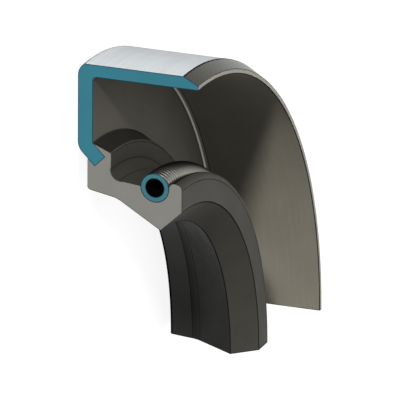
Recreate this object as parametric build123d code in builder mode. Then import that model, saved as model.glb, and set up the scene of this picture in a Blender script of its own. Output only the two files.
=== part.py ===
# Rotary shaft seal for a 22 mm shaft in a 40 mm bore, 7 mm wide, cut open as a section for display.
# Three pieces: a stamped steel case, a rubber sealing lip moulded round the case's bent rim,
# and a garter spring, a closely wound coil that lies in the lip's groove.
# Millimetres. The shaft's axis is Z. The flange's outer face lies in z = 0 and the open end looks up.
# The first cut face is in y = 0, on the -X side, and the ring runs on from there towards +Y.
from math import cos, pi, radians, sin, tan
import os

from build123d import *

section_angle = 90.0  # how much of the full ring is there, in degrees

# Shaft and bore that the seal fits
shaft_diameter = 22.0
bore_diameter = 40.0
seal_width = 7.02

# Steel case: a sheet stamped into a cup, then turned to size on the outside
sheet = 0.88
turned_off = 0.155  # taken off the outside
outer_corner_radius = 0.88  # between flange and wall
inner_corner_radius = 0.22
lead_in_length = 0.85  # chamfer at the open end, along the axis
lead_in_depth = 0.46
rim_length = 1.40  # outer side of the rim that is bent inwards
rim_angle = 45.0
rim_bend_radius = 0.90

# Rubber lip: the sealing edge and its two sides
lip_interference = 0.095  # the free edge lies this far inside the shaft's surface
lip_edge_height = 4.85
air_side_angle = 31.2  # from the axis, on the flange's side of the edge
oil_side_angle = 43.5  # on the open end's side

# Rubber lip: the heel, moulded round the case's rim, and the web that carries the lip
knee_height = 2.29  # where the air side runs out into the heel
knee_radius = 1.5
heel_height = 0.565
heel_angle = 10.5
heel_radius = 0.20
heel_depth = 1.355  # rubber between the shaft's side of the heel and the tip of the rim
rim_cover = 0.32  # rubber past the tip of the rim, along the axis
shoulder_start = 0.10  # along the rim's inner side
shoulder_angle = 23.0
shoulder_radius = 0.10
web_thickness = 1.075  # over the knee
web_fillet = 0.45

# Rubber lip: the groove for the spring and the nose in front of it
lip_backing = 1.595  # rubber between the sealing edge and the groove
groove_clearance = 0.02
groove_wrap_angle = 10.0  # the groove holds the spring this far past its widest place
nose_thickness = 0.77
nose_rise = 0.36  # the nose's top above the spring's centre line
nose_bevel_height = 0.28
nose_bevel_width = 0.29
nose_inner_bevel = 0.14

# Garter spring
spring_offset = 0.345  # set back from the sealing edge, towards the flange
coil_radius = 0.82  # outside of the coil
wire_diameter = 0.285
turn_gap = 0.003  # between turns, on the side next to the shaft
end_turn_swell = 0.015  # the closed turn at each cut is this much thicker, so that the coil runs into it
wire_sides = 6  # the round wire as a prism, and each turn as straight runs
turn_steps = 8

# Profiles are drawn as (radius, height) in the first cut face and turned about the shaft's axis
cut_face = Plane(origin=(0, 0, 0), x_dir=(-1, 0, 0), z_dir=(0, 1, 0))
shaft_axis = Axis((0, 0, 0), (0, 0, -1))

# The lip's shaft side, from the sealing edge to the heel, and the spring's place behind the edge
lip_radius = shaft_diameter / 2 - lip_interference
knee_side_radius = lip_radius + (lip_edge_height - knee_height) * tan(radians(air_side_angle))
heel_side_radius = knee_side_radius + (knee_height - heel_height) * tan(radians(heel_angle))
groove_radius = coil_radius + groove_clearance
spring_height = lip_edge_height - spring_offset
spring_ring_radius = lip_radius + lip_backing + groove_radius

# Steel case: its rim reaches in over the heel
bore_radius = bore_diameter / 2
stamped_radius = bore_radius + turned_off
wall_radius = stamped_radius - sheet
rim_along = Vector(-cos(radians(rim_angle)), sin(radians(rim_angle)))
rim_across = Vector(sin(radians(rim_angle)), cos(radians(rim_angle)))
rim_corner = Vector(heel_side_radius + heel_depth - rim_along.X * rim_length, 0)
rim_inner_corner = rim_corner + Vector(sheet * tan(radians(rim_angle / 2)), sheet)
rim_tip = rim_corner + rim_along * rim_length
rim_inner_tip = rim_tip + rim_across * sheet

# Each corner of an outline stands beside the radius that rounds it
case_outline = [
    (rim_tip, 0),
    (rim_corner, rim_bend_radius),
    ((stamped_radius, 0), outer_corner_radius),
    ((stamped_radius, seal_width), 0),
    ((wall_radius, seal_width), 0),
    ((wall_radius, sheet), inner_corner_radius),
    (rim_inner_corner, 0),
    (rim_inner_tip, 0),
]
turned_outline = [
    (stamped_radius, 0),
    (bore_radius, 0),
    (bore_radius, seal_width - lead_in_length),
    (bore_radius - lead_in_depth, seal_width),
    (stamped_radius, seal_width),
]

with BuildSketch(cut_face) as case_profile:
    with BuildLine():
        FilletPolyline([point for point, _ in case_outline], radius=[r for _, r in case_outline], close=True)
    make_face()
    with BuildLine():
        Polyline(turned_outline, close=True)
    make_face(mode=Mode.SUBTRACT)

with BuildPart() as metal_case:
    add(case_profile.sketch)
    revolve(axis=shaft_axis, revolution_arc=section_angle)
metal_case.part.label = "metal_case"

# Rubber lip, moulded onto the case: its profile loses what the steel fills
web_height = rim_inner_tip.Y + rim_cover
nose_inner_height = spring_height + groove_radius * cos(radians(groove_wrap_angle))
nose_height = nose_inner_height + nose_thickness
nose_top_radius = spring_ring_radius + nose_rise
nose_foot_radius = lip_radius + (nose_height - lip_edge_height) * tan(radians(oil_side_angle))
shoulder = rim_inner_corner + rim_along * shoulder_start
shoulder_corner = (shoulder.X - (web_height - shoulder.Y) * tan(radians(shoulder_angle)), web_height)

lip_outline = [
    (shoulder, 0),
    (shoulder_corner, shoulder_radius),
    ((knee_side_radius + web_thickness, web_height), web_fillet),
    ((spring_ring_radius, spring_height - coil_radius), 0),
    ((spring_ring_radius, nose_inner_height), 0),
    ((nose_top_radius - nose_inner_bevel, nose_inner_height), 0),
    ((nose_top_radius, nose_inner_height + nose_inner_bevel), 0),
    ((nose_top_radius, nose_height - nose_bevel_height), 0),
    ((nose_top_radius - nose_bevel_width, nose_height), 0),
    ((nose_foot_radius, nose_height), 0),
    ((lip_radius, lip_edge_height), 0),
    ((knee_side_radius, knee_height), knee_radius),
    ((heel_side_radius, heel_height), heel_radius),
    ((rim_corner.X - heel_height / tan(radians(rim_angle)), heel_height), 0),
    ((rim_corner + rim_inner_corner) / 2, 0),
]

with BuildSketch(cut_face) as lip_profile:
    with BuildLine():
        FilletPolyline([point for point, _ in lip_outline], radius=[r for _, r in lip_outline], close=True)
    make_face()
    with Locations((spring_ring_radius, spring_height)):
        Circle(groove_radius, mode=Mode.SUBTRACT)
    add(case_profile.sketch_local, mode=Mode.SUBTRACT)

with BuildPart() as sealing_lip:
    add(lip_profile.sketch)
    revolve(axis=shaft_axis, revolution_arc=section_angle)
sealing_lip.part.label = "sealing_lip"

# Garter spring: a helix wound round a curved centre line, as many turns as fit side by side
coil_mean = coil_radius - wire_diameter / 2
arc = radians(section_angle)
turns = int(arc * (spring_ring_radius - coil_mean) / (wire_diameter + turn_gap))
run_out = turn_steps // 4  # steps wound on past each cut face, to be trimmed there


def ring_frame(swept):
    """At an angle along the ring: the coil's centre, the way out from the shaft, and the way onwards."""
    from_shaft = Vector(-cos(swept), sin(swept))
    centre = from_shaft * spring_ring_radius + Vector(0, 0, spring_height)
    return centre, from_shaft, Vector(sin(swept), cos(swept))


def wire_section(turn):
    """The wire's cross-section after `turn` turns, trimmed where it would pass a cut face."""
    wound = 2 * pi * turn
    swept = arc * turn / turns
    centre, from_shaft, onwards = ring_frame(swept)
    outwards = from_shaft * cos(wound) + Vector(0, 0, sin(wound))
    points = []
    for side in range(wire_sides):
        angle = 2 * pi * side / wire_sides
        depth = coil_mean + wire_diameter / 2 * cos(angle)
        radius = spring_ring_radius + depth * cos(wound)
        first_cut = radius * tan(max(-swept, -pi / 4))
        last_cut = radius * tan(min(arc - swept, pi / 4))
        along = min(max(wire_diameter / 2 * sin(angle), first_cut), last_cut)
        points.append(centre + outwards * depth + onwards * along)
    return Face(Wire.make_polygon(points))


with BuildPart() as garter_spring:
    steps = range(-run_out, turns * turn_steps + run_out + 1)
    loft([wire_section(step / turn_steps) for step in steps], ruled=True)
    # At each cut face a turn closes on itself, and the cut halves it
    for swept, inwards in ((0, 1), (arc, -1)):
        centre, from_shaft, onwards = ring_frame(swept)
        turn_axis = Axis(centre, onwards * inwards)
        turn_start = centre + from_shaft * coil_mean
        turn_plane = Plane(turn_start, x_dir=from_shaft, z_dir=from_shaft.cross(turn_axis.direction))
        with BuildSketch(turn_plane):
            RegularPolygon((wire_diameter + end_turn_swell) / 2, wire_sides)
            split(bisect_by=Plane.XZ, keep=Keep.BOTTOM)
        revolve(axis=turn_axis, clean=False)
garter_spring.part.label = "garter_spring"

os.makedirs("parts", exist_ok=True)
export_step(metal_case.part, "parts/metal_case.step")
export_step(sealing_lip.part, "parts/sealing_lip.step")
export_step(garter_spring.part, "parts/garter_spring.step")
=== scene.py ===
from dataclasses import dataclass
from math import asin, atan2, ceil, cos, pi, radians, sin, sqrt, tan

import bpy
from mathutils import Matrix, Vector
from mathutils.geometry import delaunay_2d_cdt


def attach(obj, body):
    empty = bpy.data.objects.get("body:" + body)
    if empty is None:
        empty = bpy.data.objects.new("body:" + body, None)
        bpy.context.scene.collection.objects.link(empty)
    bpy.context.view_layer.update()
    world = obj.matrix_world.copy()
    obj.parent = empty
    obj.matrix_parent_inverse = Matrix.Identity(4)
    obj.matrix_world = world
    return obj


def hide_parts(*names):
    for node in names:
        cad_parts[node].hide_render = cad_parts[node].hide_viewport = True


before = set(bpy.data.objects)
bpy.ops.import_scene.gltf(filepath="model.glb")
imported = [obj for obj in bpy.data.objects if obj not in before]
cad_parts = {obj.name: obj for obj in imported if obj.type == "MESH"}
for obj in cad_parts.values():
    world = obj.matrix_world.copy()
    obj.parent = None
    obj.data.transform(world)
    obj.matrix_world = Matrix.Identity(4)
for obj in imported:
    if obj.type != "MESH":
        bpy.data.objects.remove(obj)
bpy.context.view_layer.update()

# A rotary shaft seal cut open as a quarter ring: steel case, rubber lip and garter spring.
# The shaft's axis is Z, the first cut face lies in y = 0 on the -X side, and the ring runs on towards +Y.
# Sizes are millimetres and are turned into metres where the meshes are made.
MM = 0.001

SECTION_ANGLE = radians(90.0)

# Steel case
BORE_RADIUS = 20.0
SEAL_WIDTH = 7.02
STAMPED_RADIUS = 20.155
SHEET = 0.88
OUTER_CORNER_RADIUS = 0.85  # a little under the sheet's thickness, to leave room for rounding the turned edge
INNER_CORNER_RADIUS = 0.22
LEAD_IN_LENGTH = 0.85
LEAD_IN_DEPTH = 0.46
RIM_ANGLE = radians(45.0)
RIM_LENGTH = 1.40
RIM_BEND_RADIUS = 0.90

# Rubber lip
LIP_RADIUS = 10.905
LIP_EDGE_HEIGHT = 4.85
AIR_SIDE_ANGLE = radians(31.2)
OIL_SIDE_ANGLE = radians(43.5)
KNEE_HEIGHT = 2.29
KNEE_RADIUS = 1.5
HEEL_HEIGHT = 0.565
HEEL_ANGLE = radians(10.5)
HEEL_RADIUS = 0.23
HEEL_DEPTH = 1.355
RIM_COVER = 0.32
SHOULDER_START = 0.10
SHOULDER_ANGLE = radians(23.0)
SHOULDER_RADIUS = 0.10
WEB_THICKNESS = 1.075
WEB_FILLET = 0.57
NOSE_THICKNESS = 0.757
NOSE_RISE = 0.36
NOSE_INNER_RADIUS = 0.30
NOSE_OUTER_RADIUS = 0.33

# Garter spring and its groove
LIP_BACKING = 1.595
COIL_RADIUS = 0.82
GROOVE_RADIUS = 0.84
SPRING_OFFSET = 0.345
WIRE_DIAMETER = 0.285
TURN_GAP = 0.003
END_TURN_SWELL = 0.015

# The lip's shaft side, from the sealing edge to the heel, and the spring's place behind the edge
KNEE_SIDE_RADIUS = LIP_RADIUS + (LIP_EDGE_HEIGHT - KNEE_HEIGHT) * tan(AIR_SIDE_ANGLE)
HEEL_SIDE_RADIUS = KNEE_SIDE_RADIUS + (KNEE_HEIGHT - HEEL_HEIGHT) * tan(HEEL_ANGLE)
SPRING_RING_RADIUS = LIP_RADIUS + LIP_BACKING + GROOVE_RADIUS
SPRING_HEIGHT = LIP_EDGE_HEIGHT - SPRING_OFFSET
COIL_MEAN = COIL_RADIUS - WIRE_DIAMETER / 2

# The case's rim, bent inwards over the heel: its directions and corners as (radius, height)
RIM_ALONG = Vector((-cos(RIM_ANGLE), sin(RIM_ANGLE)))
RIM_ACROSS = Vector((sin(RIM_ANGLE), cos(RIM_ANGLE)))
RIM_CORNER = Vector((HEEL_SIDE_RADIUS + HEEL_DEPTH - RIM_ALONG.x * RIM_LENGTH, 0))
RIM_INNER_CORNER = RIM_CORNER + Vector((SHEET * tan(RIM_ANGLE / 2), SHEET))
RIM_TIP = RIM_CORNER + RIM_ALONG * RIM_LENGTH
RIM_INNER_TIP = RIM_TIP + RIM_ACROSS * SHEET

# Fineness of the meshes
RING_STEPS = 144
ARC_STEP = radians(7.5)
EDGE_STEP = radians(30.0)
LONGEST_STRIP = 0.25
SHORTEST_STRIP = 0.004
WIRE_SIDES = 12
TURN_STEPS = 32

# Sharp edges are broken by this radius, or by less where the rubber runs out on the steel
EDGE_BREAK = 0.045
SHOULDER_EDGE_BREAK = 0.01
HEEL_EDGE_BREAK = 0.02

# The edges of a cut face slope back by this depth over the width of its border
CUT_BEVEL = 0.008

# Widths of the dark lines: over a sharp edge, beside a rounding, round a cut face and along the far cut
LINE_WIDTH = 0.08
TANGENT_LINE = 0.035
CUT_BORDER = 0.04
FAR_CUT_LINE = 0.045

# Widths of the dark lines before and after a corner, against the usual one
LINED = (1.0, 1.0)
UNLINED = (0.0, 0.0)
LINED_AFTER = (0.0, 1.0)
LEAD_IN_LINES = (2.0, 1.4)
NOSE_TOP_LINES = (0.0, 1.5)

# The finish of the case's inner corner: that of the face on either side, parted by a streak of painted
# highlight.
# The streak lies this far round the corner and is this wide, as shares of the arc.
GLINT = "glint"
GLINT_PLACE = 0.60
GLINT_WIDTH = 0.34

# The side of the wire that faces the coil's own axis counts as inside past this cosine, and is painted near
# black as shade
INSIDE_LIMIT = -0.5

# What a triangulation gives out: the triangles inside its outline
INSIDE_ONLY = 1


@dataclass
class Corner:
    """A corner of a profile. Profiles run with their material on the left."""

    radius: float
    height: float
    finish: str  # of the stretch after it
    rounding: float = EDGE_BREAK  # None for a point of a curve, which the profile passes smoothly
    lined: tuple = LINED
    bordered: bool = True  # whether the cut face's dark border runs beside the stretch after it
    arc: str = None  # the finish of the rounding, where it isn't the usual one

    @property
    def at(self):
        return Vector((self.radius, self.height))

    @property
    def sharp(self):
        return self.rounding <= EDGE_BREAK

    def arc_finish(self, finish_before, share):
        """The finish of the rounding at a share of the way round it."""
        if self.arc != GLINT:
            return self.arc or ("line" if self.sharp else self.finish)
        past_streak = share - GLINT_PLACE
        if abs(past_streak) < GLINT_WIDTH / 2:
            # The bright finish corner is a painted highlight along the middle of the rounding
            return "corner"
        return finish_before if past_streak < 0 else self.finish


@dataclass
class Point:
    """A point of a finished profile, with the normal there and the finish of the stretch after it."""

    place: Vector
    normal: Vector
    finish: str
    bordered: bool  # whether the cut face's dark border runs beside it


def arc_points(radius, height, arc_radius, start, end, finish):
    """Points of an arc that isn't a fillet, without its first one."""
    steps = ceil(abs(end - start) / ARC_STEP)
    points = []
    for step in range(1, steps + 1):
        angle = start + (end - start) * step / steps
        place = (radius + arc_radius * cos(angle), height + arc_radius * sin(angle))
        points.append(Corner(*place, finish, rounding=None, lined=UNLINED, bordered=False))
    return points


def outward(direction):
    """The normal of a stretch that runs in a direction."""
    return Vector((direction.y, -direction.x))


def round_off(corners):
    """The points of a profile, with its corners rounded, and with dark lines beside those that are lined."""
    count = len(corners)
    ways = [(corners[(index + 1) % count].at - stop.at).normalized() for index, stop in enumerate(corners)]
    turns = [-ways[index - 1].angle_signed(ways[index]) for index in range(count)]
    reaches = [(stop.rounding or 0.0) * tan(abs(turn) / 2) for stop, turn in zip(corners, turns)]
    rooms = []
    for index, stop in enumerate(corners):
        after = (index + 1) % count
        rooms.append((corners[after].at - stop.at).length - reaches[index] - reaches[after])
    rounded = []
    for index, stop in enumerate(corners):
        before = corners[index - 1]
        inwards, onwards, turn = ways[index - 1], ways[index], turns[index]
        bordered = before.bordered and stop.bordered
        radius = stop.rounding
        if radius is None:
            normal = (outward(inwards) + outward(onwards)).normalized()
            rounded.append(Point(stop.at, normal, stop.finish, bordered))
            continue
        line = (LINE_WIDTH - radius * abs(turn)) / 2 if stop.sharp else TANGENT_LINE
        line_before = min(line * stop.lined[0], rooms[index - 1] / 2)
        line_after = min(line * stop.lined[1], rooms[index] / 2)
        first = stop.at - inwards * reaches[index]
        last = stop.at + onwards * reaches[index]
        if line_before > SHORTEST_STRIP:
            rounded.append(Point(first - inwards * line_before, outward(inwards), "line", bordered))
        bulge = 1 if turn > 0 else -1
        hub = first - outward(inwards) * radius * bulge
        steps = max(2, ceil(abs(turn) / (EDGE_STEP if stop.sharp else ARC_STEP)))
        for step in range(steps):
            normal = Matrix.Rotation(turn * step / steps, 2) @ outward(inwards)
            finish = stop.arc_finish(before.finish, (step + 0.5) / steps)
            rounded.append(Point(hub + normal * radius * bulge, normal, finish, bordered))
        if line_after > SHORTEST_STRIP:
            rounded.append(Point(last, outward(onwards), "line", bordered))
            last = last + onwards * line_after
        rounded.append(Point(last, outward(onwards), stop.finish, bordered))
    return rounded


def subdivided(profile):
    """The profile with more points on its long straight stretches."""
    dense = []
    for index, point in enumerate(profile):
        after = profile[(index + 1) % len(profile)]
        bordered = point.bordered and after.bordered
        parts = ceil((after.place - point.place).length / LONGEST_STRIP)
        dense.append(point)
        for part in range(1, parts):
            share = part / parts
            normal = point.normal.lerp(after.normal, share).normalized()
            dense.append(Point(point.place.lerp(after.place, share), normal, point.finish, bordered))
    return dense


class MeshMaker:
    """Collects vertices, faces, their finishes and their corner normals, and makes one object of them."""

    def __init__(self, finishes):
        self.finishes = finishes
        self.vertices, self.faces, self.slots, self.normals = [], [], [], []

    def vertex(self, place):
        self.vertices.append(place * MM)
        return len(self.vertices) - 1

    def face(self, corners, finish, normals):
        self.faces.append(corners)
        self.slots.append(list(self.finishes).index(finish))
        self.normals.extend(normals)

    def build(self, name):
        mesh = bpy.data.meshes.new(name)
        mesh.from_pydata(self.vertices, [], self.faces)
        for material in self.finishes.values():
            mesh.materials.append(material)
        mesh.polygons.foreach_set("material_index", self.slots)
        mesh.polygons.foreach_set("use_smooth", [True] * len(self.faces))
        mesh.update()
        mesh.normals_split_custom_set([tuple(normal) for normal in self.normals])
        piece = bpy.data.objects.new(name, mesh)
        bpy.context.collection.objects.link(piece)
        return piece


def around(radius, height, sweep):
    """The point at a radius and height, swept from the first cut face."""
    return Vector((-radius * cos(sweep), radius * sin(sweep), height))


def along(sweep):
    """The way along the ring, away from the first cut face."""
    return Vector((sin(sweep), cos(sweep), 0))


def filled(outline):
    """Triangles that fill a flat outline, as places in it, without slivers along its straight stretches."""
    places = list(range(len(outline)))
    _, _, triangles, origins, _, _ = delaunay_2d_cdt(outline, [], [places], INSIDE_ONLY, 0.0)
    return [[origins[corner][0] for corner in triangle] for triangle in triangles]


def lathe(name, profile, finishes):
    """The profile turned through the section's angle, with a bordered face at each cut."""
    maker = MeshMaker(finishes)
    count = len(profile)
    rings = []
    sweeps = [SECTION_ANGLE * ring / RING_STEPS for ring in range(RING_STEPS + 1)] + [SECTION_ANGLE]
    shifts = [CUT_BEVEL] + [0.0] * (RING_STEPS - 1) + [-FAR_CUT_LINE, -CUT_BEVEL]
    for sweep, shift in zip(sweeps, shifts):
        moved = along(sweep) * shift
        rings.append([maker.vertex(around(*point.place, sweep) + moved) for point in profile])
    for ring in range(RING_STEPS + 1):
        for index, point in enumerate(profile):
            after = (index + 1) % count
            ends = [(index, ring), (after, ring), (after, ring + 1), (index, ring + 1)]
            corners = [rings[row][at] for at, row in ends]
            normals = [around(*profile[at].normal, sweeps[row]) for at, row in ends]
            maker.face(corners, "line" if ring == RING_STEPS else point.finish, normals)
    inner = [point.place - point.normal * (CUT_BORDER if point.bordered else 0.0) for point in profile]
    triangles = filled(inner)
    for ring, sweep, side in ((0, 0.0, 1), (-1, SECTION_ANGLE, -1)):
        normal = along(sweep) * -side
        inset = [maker.vertex(around(*place, sweep)) for place in inner]
        for index in range(count):
            after = (index + 1) % count
            strip = [rings[ring][after], rings[ring][index], inset[index], inset[after]][::side]
            maker.face(strip, "border", [normal] * 4)
        for triangle in triangles:
            maker.face([inset[at] for at in triangle][::-side], "cut", [normal] * 3)
    return maker.build(name)


def case_profile():
    """The steel cup: from the tip of its rim along the flange, up the outside and back down the inside."""
    wall_radius = STAMPED_RADIUS - SHEET
    # The turned outside cuts the arc of the stamped corner at this height, after this much of its swing
    turned_from = SHEET - sqrt(SHEET**2 - (BORE_RADIUS - wall_radius) ** 2)
    swing = atan2(BORE_RADIUS - wall_radius, SHEET - turned_from)
    return [
        Corner(RIM_TIP.x, RIM_TIP.y, "coated"),
        Corner(RIM_CORNER.x, RIM_CORNER.y, "coated", RIM_BEND_RADIUS, UNLINED),
        Corner(wall_radius + SHEET * tan(swing / 2), 0, "coated", OUTER_CORNER_RADIUS, UNLINED),
        Corner(BORE_RADIUS, turned_from, "ground"),
        Corner(BORE_RADIUS, SEAL_WIDTH - LEAD_IN_LENGTH, "chamfer", lined=LEAD_IN_LINES),
        Corner(BORE_RADIUS - LEAD_IN_DEPTH, SEAL_WIDTH, "end", lined=UNLINED, arc="edge"),
        Corner(wall_radius, SEAL_WIDTH, "coated", lined=LINED_AFTER),
        Corner(wall_radius, SHEET, "flange", INNER_CORNER_RADIUS, arc=GLINT),
        Corner(RIM_INNER_CORNER.x, RIM_INNER_CORNER.y, "line", lined=UNLINED),
        Corner(RIM_INNER_TIP.x, RIM_INNER_TIP.y, "coated"),
    ]


def lip_profile():
    """The rubber, from the shoulder on the steel's inner side over the web, the groove and the nose
    to the sealing edge, back along the shaft side to the heel, and along the steel that it covers."""
    shoulder = RIM_INNER_CORNER + RIM_ALONG * SHOULDER_START
    web_height = RIM_INNER_TIP.y + RIM_COVER
    web_start = shoulder.x - (web_height - shoulder.y) * tan(SHOULDER_ANGLE)
    nose_inner = SPRING_HEIGHT + GROOVE_RADIUS
    nose_height = nose_inner + NOSE_THICKNESS
    nose_top = SPRING_RING_RADIUS + NOSE_RISE
    nose_foot = LIP_RADIUS + (nose_height - LIP_EDGE_HEIGHT) * tan(OIL_SIDE_ANGLE)
    heel_end = RIM_CORNER.x - HEEL_HEIGHT / tan(RIM_ANGLE)
    groove = arc_points(SPRING_RING_RADIUS, SPRING_HEIGHT, GROOVE_RADIUS, -pi / 2, -3 * pi / 2, "polished_painted_shade")
    return [
        Corner(shoulder.x, shoulder.y, "shoulder", SHOULDER_EDGE_BREAK, bordered=False),
        Corner(web_start, web_height, "skin", SHOULDER_RADIUS),
        Corner(KNEE_SIDE_RADIUS + WEB_THICKNESS, web_height, "skin", WEB_FILLET),
        Corner(SPRING_RING_RADIUS, SPRING_HEIGHT - GROOVE_RADIUS, "polished_painted_shade", bordered=False),
        *groove,
        Corner(nose_top, nose_inner, "skin", NOSE_INNER_RADIUS, NOSE_TOP_LINES, arc="line"),
        Corner(nose_top, nose_height, "skin", NOSE_OUTER_RADIUS, LINED_AFTER),
        Corner(nose_foot, nose_height, "skin"),
        Corner(LIP_RADIUS, LIP_EDGE_HEIGHT, "polished_painted_shade"),
        Corner(KNEE_SIDE_RADIUS, KNEE_HEIGHT, "heel", KNEE_RADIUS, arc="polished_painted_shade"),
        Corner(HEEL_SIDE_RADIUS, HEEL_HEIGHT, "skin", HEEL_RADIUS, UNLINED, arc="line"),
        Corner(heel_end, HEEL_HEIGHT, "skin", HEEL_EDGE_BREAK, bordered=False),
        Corner(RIM_TIP.x, RIM_TIP.y, "skin", bordered=False),
        Corner(RIM_INNER_TIP.x, RIM_INNER_TIP.y, "skin", bordered=False),
    ]


def cut_circle_point(angle, radius, low):
    """The point at an angle of a circle that is cut straight off below `low`. Points that would lie past the
    cut are spread along its edge."""
    start = asin(max(-1.0, min(low / radius, 1.0)))
    cut_off = pi + 2 * start
    past_cut = (angle - (pi - start)) % (2 * pi)
    if past_cut >= cut_off:
        return radius * cos(angle), radius * sin(angle)
    return radius * cos(start) * (2 * past_cut / cut_off - 1), low


def wire_finish(angle):
    """The finish at an angle round the wire, where 0 looks away from the coil's axis; the inside is painted
    shade.
    """
    return "inside" if cos(angle) < INSIDE_LIMIT else "wire"


def make_spring(finishes):
    """A close-wound coil bent into the ring, trimmed at the cut faces, with a closed turn at each."""
    maker = MeshMaker(finishes)
    wire = WIRE_DIAMETER / 2
    turns = int(SECTION_ANGLE * (SPRING_RING_RADIUS - COIL_MEAN) / (WIRE_DIAMETER + TURN_GAP))
    run_out = TURN_STEPS // 4  # steps wound on past each cut face, to be trimmed there
    rings = []
    for step in range(-run_out, turns * TURN_STEPS + run_out + 1):
        wound = 2 * pi * step / TURN_STEPS
        sweep = SECTION_ANGLE * step / TURN_STEPS / turns
        centre = around(SPRING_RING_RADIUS, SPRING_HEIGHT, sweep)
        onwards = along(sweep)
        outwards = around(1, 0, sweep) * cos(wound) + Vector((0, 0, sin(wound)))
        inwards, past_cut = (1, sweep) if sweep < SECTION_ANGLE / 2 else (-1, SECTION_ANGLE - sweep)
        low = CUT_BEVEL - (SPRING_RING_RADIUS + COIL_MEAN * cos(wound)) * tan(past_cut)
        ring = []
        for side in range(WIRE_SIDES):
            angle = 2 * pi * side / WIRE_SIDES
            out, on = cut_circle_point(angle * inwards, wire, low)
            normal = outwards * cos(angle) + onwards * sin(angle)
            place = centre + outwards * (COIL_MEAN + out) + onwards * on * inwards
            ring.append((maker.vertex(place), normal))
        rings.append(ring)
    for ring, after in zip(rings, rings[1:]):
        for side in range(WIRE_SIDES):
            beside = (side + 1) % WIRE_SIDES
            ends = [ring[beside], ring[side], after[side], after[beside]]
            finish = wire_finish(2 * pi * (side + 0.5) / WIRE_SIDES)
            maker.face([end[0] for end in ends], finish, [end[1] for end in ends])
    for ring, way in ((rings[0], 1), (rings[-1], -1)):
        maker.face([end[0] for end in ring][::way], "wire", [end[1] for end in ring][::way])
    for sweep, inwards in ((0.0, 1), (SECTION_ANGLE, -1)):
        closed_turn(maker, sweep, inwards)
    return maker.build("spring_coil")


def closed_turn(maker, sweep, inwards):
    """Half a closed turn of wire, with its flat cut face and that face's border."""
    wire = (WIRE_DIAMETER + END_TURN_SWELL) / 2
    centre = around(SPRING_RING_RADIUS, SPRING_HEIGHT, sweep)
    onwards = along(sweep) * inwards
    half = WIRE_SIDES // 2
    steps = TURN_STEPS * 2  # twice as fine as the coil, since the cut face shows its outline
    rows = []
    for step in range(steps):
        wound = 2 * pi * step / steps
        outwards = around(1, 0, sweep) * cos(wound) + Vector((0, 0, sin(wound)))
        row = []
        for side in range(half + 1):
            angle = pi * side / half
            normal = outwards * cos(angle) + onwards * sin(angle)
            place = centre + outwards * (COIL_MEAN + wire * cos(angle)) + onwards * wire * sin(angle)
            row.append((maker.vertex(place), normal))
        for depth in (COIL_MEAN - wire + CUT_BORDER, COIL_MEAN + wire - CUT_BORDER):
            row.append((maker.vertex(centre + outwards * depth), -onwards))
        rows.append(row)
    stretches = [(side, side + 1, wire_finish(pi * (side + 0.5) / half)) for side in range(half)]
    stretches += [(half, half + 1, "border"), (half + 1, half + 2, "cut"), (half + 2, 0, "border")]
    for row, after in zip(rows, rows[1:] + rows[:1]):
        for side, beside, finish in stretches:
            ends = [row[side], row[beside], after[beside], after[side]][::-inwards]
            flat = finish in ("border", "cut")
            maker.face([end[0] for end in ends], finish, [-onwards if flat else end[1] for end in ends])


# Materials

# Painted shade: the case's coating is darker towards the wall, from this radius to that one
PAINTED_WALL_SHADE_RADII = (15.4, 19.2)

# Painted shade on the spring: darkest below the first height over its centre line, and none above the second
PAINTED_SHADE_HEIGHTS = (0.46, 0.74)
PAINTED_SHADE_FACTOR = 0.30

WHITE = (1, 1, 1, 1)


def srgb(red, green, blue):
    """A colour as it shows on a screen, 0 to 255, as the linear values that shaders take."""
    channels = [channel / 255 for channel in (red, green, blue)]
    return tuple(c / 12.92 if c <= 0.04045 else ((c + 0.055) / 1.055) ** 2.4 for c in channels)


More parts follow.
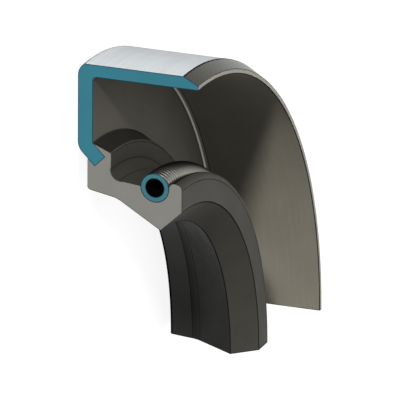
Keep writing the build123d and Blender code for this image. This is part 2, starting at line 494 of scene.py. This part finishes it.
class Nodes:
    """Adds nodes to the tree of a material or a world, and links them in one call each."""

    def __init__(self, owner):
        owner.use_nodes = True
        self.owner = owner
        self.tree = owner.node_tree

    def put(self, value, socket):
        """Links a socket to an output, or sets its value."""
        if isinstance(value, bpy.types.NodeSocket):
            self.tree.links.new(value, socket)
        else:
            socket.default_value = value

    def add(self, kind, inputs=(), **settings):
        node = self.tree.nodes.new(kind)
        for name, value in settings.items():
            setattr(node, name, value)
        for socket, value in dict(inputs).items():
            self.put(value, node.inputs[socket])
        return node

    def math(self, operation, *values):
        return self.add("ShaderNodeMath", enumerate(values), operation=operation).outputs[0]

    def product(self, value, *others):
        for other in others:
            value = self.math("MULTIPLY", value, other)
        return value

    def millimetres(self):
        """The place on the piece, in millimetres."""
        place = self.add("ShaderNodeTexCoord").outputs["Object"]
        return self.add("ShaderNodeVectorMath", {0: place, 3: 1 / MM}, operation="SCALE").outputs[0]

    def radius(self):
        """The distance from the shaft's axis, in millimetres."""
        flat = self.add("ShaderNodeVectorMath", {0: self.millimetres(), 1: (1, 1, 0)}, operation="MULTIPLY")
        return self.add("ShaderNodeVectorMath", {0: flat.outputs[0]}, operation="LENGTH").outputs["Value"]

    def height(self):
        """The height over the flange's outer face, in millimetres."""
        return self.add("ShaderNodeSeparateXYZ", {0: self.millimetres()}).outputs["Z"]

    def round_the_shaft(self, stretch):
        """Radius, height and angle about the shaft, for marks that run round it and are `stretch` times
        longer than wide."""
        x, y, z = self.add("ShaderNodeSeparateXYZ", {0: self.millimetres()}).outputs
        angle = self.math("MULTIPLY", self.math("ARCTAN2", y, x), BORE_RADIUS / stretch)
        return self.add("ShaderNodeCombineXYZ", {0: self.radius(), 1: z, 2: angle}).outputs[0]

    def noise(self, vector, scale, detail=2.0, roughness=0.5):
        inputs = {"Vector": vector, "Scale": scale, "Detail": detail, "Roughness": roughness}
        return self.add("ShaderNodeTexNoise", inputs).outputs["Fac"]

    def spread(self, value, low, high, start=0.3, end=0.7):
        """A value between start and end, as most of a noise is, spread over low to high."""
        inputs = {"Value": value, "From Min": start, "From Max": end, "To Min": low, "To Max": high}
        return self.add("ShaderNodeMapRange", inputs).outputs[0]

    def tinted(self, colour, shade):
        """The colour times a grey value."""
        return self.add("ShaderNodeVectorMath", {0: colour, 3: shade}, operation="SCALE").outputs[0]

    def bump(self, height, distance, normal=None):
        inputs = {"Height": height, "Distance": distance * MM, "Strength": 1.0}
        if normal is not None:
            inputs["Normal"] = normal
        return self.add("ShaderNodeBump", inputs).outputs[0]

    def shade(self, **sockets):
        """Sets the main shader's sockets, and gives the material."""
        shader = self.tree.nodes["Principled BSDF"]
        for name, value in sockets.items():
            self.put(value, shader.inputs[name.replace("_", " ").title().replace("Ior", "IOR")])
        return self.owner

    def seen_directly(self):
        """1 for camera, mirror and glass rays, and 0 for the light that falls on the object."""
        path = self.add("ShaderNodeLightPath").outputs
        seen = self.math("MAXIMUM", path["Is Camera Ray"], path["Is Glossy Ray"])
        return self.math("MAXIMUM", seen, path["Is Transmission Ray"])


def material_nodes(name):
    return Nodes(bpy.data.materials.new(name))


def ground_steel():
    """The ground outside: bright, with fine marks round the shaft and a few faint deeper ones."""
    nodes = material_nodes("ground_steel")
    marks = nodes.noise(nodes.round_the_shaft(60), 14.0, detail=4.0, roughness=0.7)
    bands = nodes.noise(nodes.round_the_shaft(200), 2.2)
    clouds = nodes.noise(nodes.millimetres(), 0.35, detail=3.0)
    shade = nodes.product(
        nodes.spread(marks, 0.93, 1.05),
        nodes.spread(bands, 0.96, 1.03),
        nodes.spread(clouds, 0.97, 1.03),
    )
    return nodes.shade(
        base_color=nodes.tinted(srgb(226, 231, 233), shade),
        metallic=0.04,
        roughness=nodes.math("ADD", nodes.spread(marks, 0.30, 0.42), nodes.spread(clouds, -0.03, 0.05)),
        specular_ior_level=0.0,
        specular_tint=(0.15, 0.15, 0.15, 1),
        normal=nodes.bump(marks, 0.004),
    )


def coated_steel(
    name,
    colour,
    metallic=0.0,
    roughness=0.6,
    specular=0.05,
    grain_depth=0.006,
    painted_wall_shade=1.0,
    gloss=(1, 1, 1),
    diffuse_roughness=0.0,
):
    """Phosphated sheet: a fine crystalline grain, faint marks of the drawing die and soft clouding. Painted
    shade darkens it towards the wall by this factor, and gloss is the tint of its highlights."""
    nodes = material_nodes(name)
    place = nodes.millimetres()
    grain = nodes.noise(place, 16.0, detail=4.0, roughness=0.65)
    marks = nodes.noise(nodes.round_the_shaft(40), 7.0, detail=3.0, roughness=0.6)
    clouds = nodes.noise(place, 0.45, detail=3.0)
    shade = nodes.product(
        nodes.spread(grain, 0.92, 1.08),
        nodes.spread(marks, 0.96, 1.04),
        nodes.spread(clouds, 0.95, 1.05),
        nodes.spread(nodes.radius(), 1.0, painted_wall_shade, *PAINTED_WALL_SHADE_RADII),
    )
    return nodes.shade(
        base_color=nodes.tinted(colour, shade),
        metallic=metallic,
        diffuse_roughness=diffuse_roughness,
        roughness=nodes.spread(grain, roughness - 0.06, roughness + 0.08),
        specular_ior_level=specular,
        specular_tint=(*gloss, 1),
        normal=nodes.bump(grain, grain_depth, nodes.bump(marks, grain_depth / 2)),
    )


def painted_cut(name, colour):
    """The coloured face of a cut through steel: satin paint over fine saw marks."""
    nodes = material_nodes(name)
    place = nodes.millimetres()
    fine = nodes.noise(place, 18.0, detail=3.0)
    clouds = nodes.noise(place, 0.6)
    shade = nodes.product(nodes.spread(fine, 0.97, 1.03), nodes.spread(clouds, 0.97, 1.03))
    return nodes.shade(
        base_color=nodes.tinted(colour, shade),
        roughness=nodes.spread(fine, 0.50, 0.62),
        specular_ior_level=0.25,
        normal=nodes.bump(fine, 0.003),
    )


def cut_rubber():
    """The knife-cut face of the rubber: grey, dull, with specks of filler."""
    nodes = material_nodes("cut_rubber")
    place = nodes.millimetres()
    specks = nodes.noise(place, 22.0, detail=4.0, roughness=0.7)
    clouds = nodes.noise(place, 0.8)
    shade = nodes.product(nodes.spread(specks, 0.94, 1.06), nodes.spread(clouds, 0.97, 1.03))
    return nodes.shade(
        base_color=nodes.tinted(srgb(132, 131, 125), shade),
        roughness=0.8,
        specular_ior_level=0.2,
        normal=nodes.bump(specks, 0.004),
    )


def moulded_rubber(name, colour, roughness, specular):
    """The moulded skin of the rubber: near black, satin, with the mould's fine grain and a faint bloom."""
    nodes = material_nodes(name)
    place = nodes.millimetres()
    grain = nodes.noise(place, 20.0, detail=3.0, roughness=0.6)
    marks = nodes.noise(nodes.round_the_shaft(30), 6.0, detail=3.0, roughness=0.6)
    bloom = nodes.noise(place, 0.7, detail=4.0, roughness=0.6)
    shade = nodes.product(nodes.spread(grain, 0.93, 1.07), nodes.spread(bloom, 0.92, 1.10))
    return nodes.shade(
        base_color=nodes.tinted(colour, shade),
        roughness=nodes.spread(bloom, roughness - 0.05, roughness + 0.07),
        specular_ior_level=specular,
        normal=nodes.bump(grain, 0.004, nodes.bump(marks, 0.003)),
    )


def spring_wire():
    """Drawn spring steel with a soft gloss, with painted shade darkening the side that lies towards the
    flange.
    """
    nodes = material_nodes("spring_wire")
    place = nodes.millimetres()
    fine = nodes.noise(place, 25.0, detail=3.0, roughness=0.6)
    clouds = nodes.noise(place, 1.2, detail=3.0)
    painted_shade_ends = [SPRING_HEIGHT + height for height in PAINTED_SHADE_HEIGHTS]
    shade = nodes.product(
        nodes.spread(fine, 0.9, 1.1),
        nodes.spread(clouds, 0.92, 1.08),
        nodes.spread(nodes.height(), PAINTED_SHADE_FACTOR, 1.0, *painted_shade_ends),
    )
    return nodes.shade(
        base_color=nodes.tinted(srgb(126, 124, 118), shade),
        metallic=1.0,
        roughness=nodes.spread(fine, 0.33, 0.41),
        specular_tint=(0.25, 0.25, 0.25, 1),
        normal=nodes.bump(fine, 0.002),
    )


def dull(name, colour, roughness=0.7):
    """A dark edge or outline, or the painted shade of a hollow, where only a trace of grain shows."""
    nodes = material_nodes(name)
    grain = nodes.noise(nodes.millimetres(), 20.0)
    return nodes.shade(
        base_color=nodes.tinted(colour, nodes.spread(grain, 0.9, 1.1)),
        roughness=roughness,
        specular_ior_level=0.0,
    )


def case_finishes():
    return {
        "coated": coated_steel("coated_steel", srgb(125, 121, 109), diffuse_roughness=0.4),
        # Painted shade: a darker copy of the coated steel for the flange's inner face, darkening further
        # towards the wall
        "flange": coated_steel("coated_flange_painted_shade", srgb(91, 88, 81), painted_wall_shade=0.80),
        "ground": ground_steel(),
        "chamfer": coated_steel(
            "turned_chamfer",
            srgb(37, 35, 31),
            metallic=0.45,
            roughness=0.28,
            specular=0.5,
            gloss=(0.84, 0.84, 0.78),
        ),
        "end": coated_steel("sheared_end", srgb(137, 134, 124), metallic=0.1, roughness=0.5),
        # Painted highlight: a bright copy of the coated steel, for the streak along the case's inner corner
        "corner": coated_steel(
            "painted_glint_corner",
            srgb(184, 182, 174),
            metallic=0.3,
            roughness=0.35,
            specular=0.4,
            grain_depth=0.003,
        ),
        "line": dull("steel_edge", srgb(44, 43, 40)),
        "edge": dull("turned_edge", srgb(84, 82, 75)),
        "cut": painted_cut("painted_cut", srgb(50, 117, 134)),
        "border": dull("painted_cut_border", srgb(27, 62, 75), roughness=0.6),
    }


def lip_finishes():
    return {
        "skin": moulded_rubber("moulded_rubber", srgb(61, 60, 55), roughness=0.65, specular=0.05),
        # Painted shade: darker copies of the moulded rubber, partly glossier, for faces that lie in shade:
        # the groove, the shaft side from the sealing edge over the knee, the heel side and the shoulder by
        # the steel
        "heel": moulded_rubber("heel_rubber_painted_shade", srgb(30, 30, 27), roughness=0.5, specular=0.18),
        "polished_painted_shade": moulded_rubber("polished_rubber_painted_shade", srgb(30, 30, 27), roughness=0.55, specular=0.09),
        "shoulder": moulded_rubber("shoulder_rubber_painted_shade", srgb(35, 34, 31), roughness=0.55, specular=0.09),
        "line": dull("rubber_edge", srgb(32, 32, 30)),
        "cut": cut_rubber(),
        "border": dull("cut_rubber_border", srgb(70, 69, 65)),
    }


def spring_finishes():
    return {
        "wire": spring_wire(),
        # Painted shade: near black on the side of the wire that faces the coil's own axis
        "inside": dull("spring_inside_painted_shade", srgb(7, 7, 7)),
        "cut": painted_cut("painted_spring_cut", srgb(59, 115, 125)),
        "border": dull("painted_spring_border", srgb(27, 58, 70), roughness=0.6),
    }


def dress_the_frame():
    """Each solid of the frame is replaced by its finely rounded piece."""
    case = lathe("case_ring", subdivided(round_off(case_profile())), case_finishes())
    lip = lathe("lip_ring", subdivided(round_off(lip_profile())), lip_finishes())
    spring = make_spring(spring_finishes())
    pieces = (
        (case, "metal_case", "case_steel"),
        (lip, "sealing_lip", "lip_rubber"),
        (spring, "garter_spring", "spring_steel"),
    )
    for piece, node, slot in pieces:
        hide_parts(node)
        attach(piece, "root")


# Stage

# The floor lies just under the part, in metres. Seen directly it glows, and it keeps the part's shadow.
FLOOR_HALF = 1.2
FLOOR_DROP = 0.00002
FLOOR_COLOUR = (0.24, 0.24, 0.24, 1)
FLOOR_GLOW = 0.90

# The world is white where it is seen directly, and gives this much light
WORLD_LIGHT = 0.09

# Lamps stand far away: each has the direction that it lies in, its strength and its width in degrees
LAMPS = {
    "front": ((-0.632, -0.753, 0.185), 0.96, 5.5),
    "left": ((-0.75, -0.65, 0.22), 0.10, 12.0),
    "overhead": ((-0.02, 0.02, 1.0), 0.50, 70.0),
    "back": ((0.30, 0.95, 0.10), 0.26, 30.0),
}

# The photograph's view: nearly parallel, turned so that the shaft's axis runs across the picture
VIEW_AZIMUTH = radians(-20.974)
VIEW_ELEVATION = radians(19.424)
VIEW_ROLL = radians(97.542)
VIEW_TARGET = Vector((-8.282, 12.292, 2.499)) * MM
VIEW_DISTANCE = 1020.309 * MM
VIEW_ANGLE = radians(1.24)


def make_floor():
    mesh = bpy.data.meshes.new("floor")
    corners = ((-1, -1), (1, -1), (1, 1), (-1, 1))
    mesh.from_pydata([(x * FLOOR_HALF, y * FLOOR_HALF, -FLOOR_DROP) for x, y in corners], [], [(0, 1, 2, 3)])
    floor = bpy.data.objects.new("floor", mesh)
    bpy.context.collection.objects.link(floor)
    nodes = material_nodes("floor")
    strength = nodes.product(nodes.seen_directly(), FLOOR_GLOW)
    glow = nodes.add("ShaderNodeEmission", {"Color": WHITE, "Strength": strength})
    lit = nodes.add("ShaderNodeBsdfDiffuse", {"Color": FLOOR_COLOUR})
    both = nodes.add("ShaderNodeAddShader", {0: lit.outputs[0], 1: glow.outputs[0]})
    nodes.tree.nodes.remove(nodes.tree.nodes["Principled BSDF"])
    nodes.put(both.outputs[0], nodes.tree.nodes["Material Output"].inputs["Surface"])
    mesh.materials.append(nodes.owner)


def make_world():
    world = bpy.data.worlds.new("studio")
    bpy.context.scene.world = world
    nodes = Nodes(world)
    background = nodes.tree.nodes["Background"]
    nodes.put(WHITE, background.inputs["Color"])
    nodes.put(nodes.spread(nodes.seen_directly(), WORLD_LIGHT, 1.0, 0.0, 1.0), background.inputs["Strength"])


def make_lamps():
    for name, (direction, strength, width) in LAMPS.items():
        lamp = bpy.data.lights.new(name, "SUN")
        lamp.energy = strength * pi
        lamp.angle = radians(width)
        holder = bpy.data.objects.new(name, lamp)
        holder.rotation_euler = Vector(direction).to_track_quat("Z", "Y").to_euler()
        bpy.context.collection.objects.link(holder)


def make_camera():
    level = cos(VIEW_ELEVATION)
    back = Vector((sin(VIEW_AZIMUTH) * level, -cos(VIEW_AZIMUTH) * level, sin(VIEW_ELEVATION)))
    level_right = Vector((cos(VIEW_AZIMUTH), sin(VIEW_AZIMUTH), 0))
    level_up = back.cross(level_right)
    right = level_right * cos(VIEW_ROLL) + level_up * sin(VIEW_ROLL)
    up = back.cross(right)
    place = VIEW_TARGET + back * VIEW_DISTANCE
    camera = bpy.data.objects.new("camera", bpy.data.cameras.new("camera"))
    camera.data.angle = VIEW_ANGLE
    camera.data.clip_start = VIEW_DISTANCE / 10
    camera.data.clip_end = VIEW_DISTANCE * 10
    turned = Matrix((right, up, back)).transposed().to_4x4()
    camera.matrix_world = Matrix.Translation(place) @ turned
    bpy.context.collection.objects.link(camera)
    bpy.context.scene.camera = camera


dress_the_frame()
make_floor()
make_world()
make_lamps()
make_camera()
bpy.context.scene.view_settings.view_transform = "Standard"
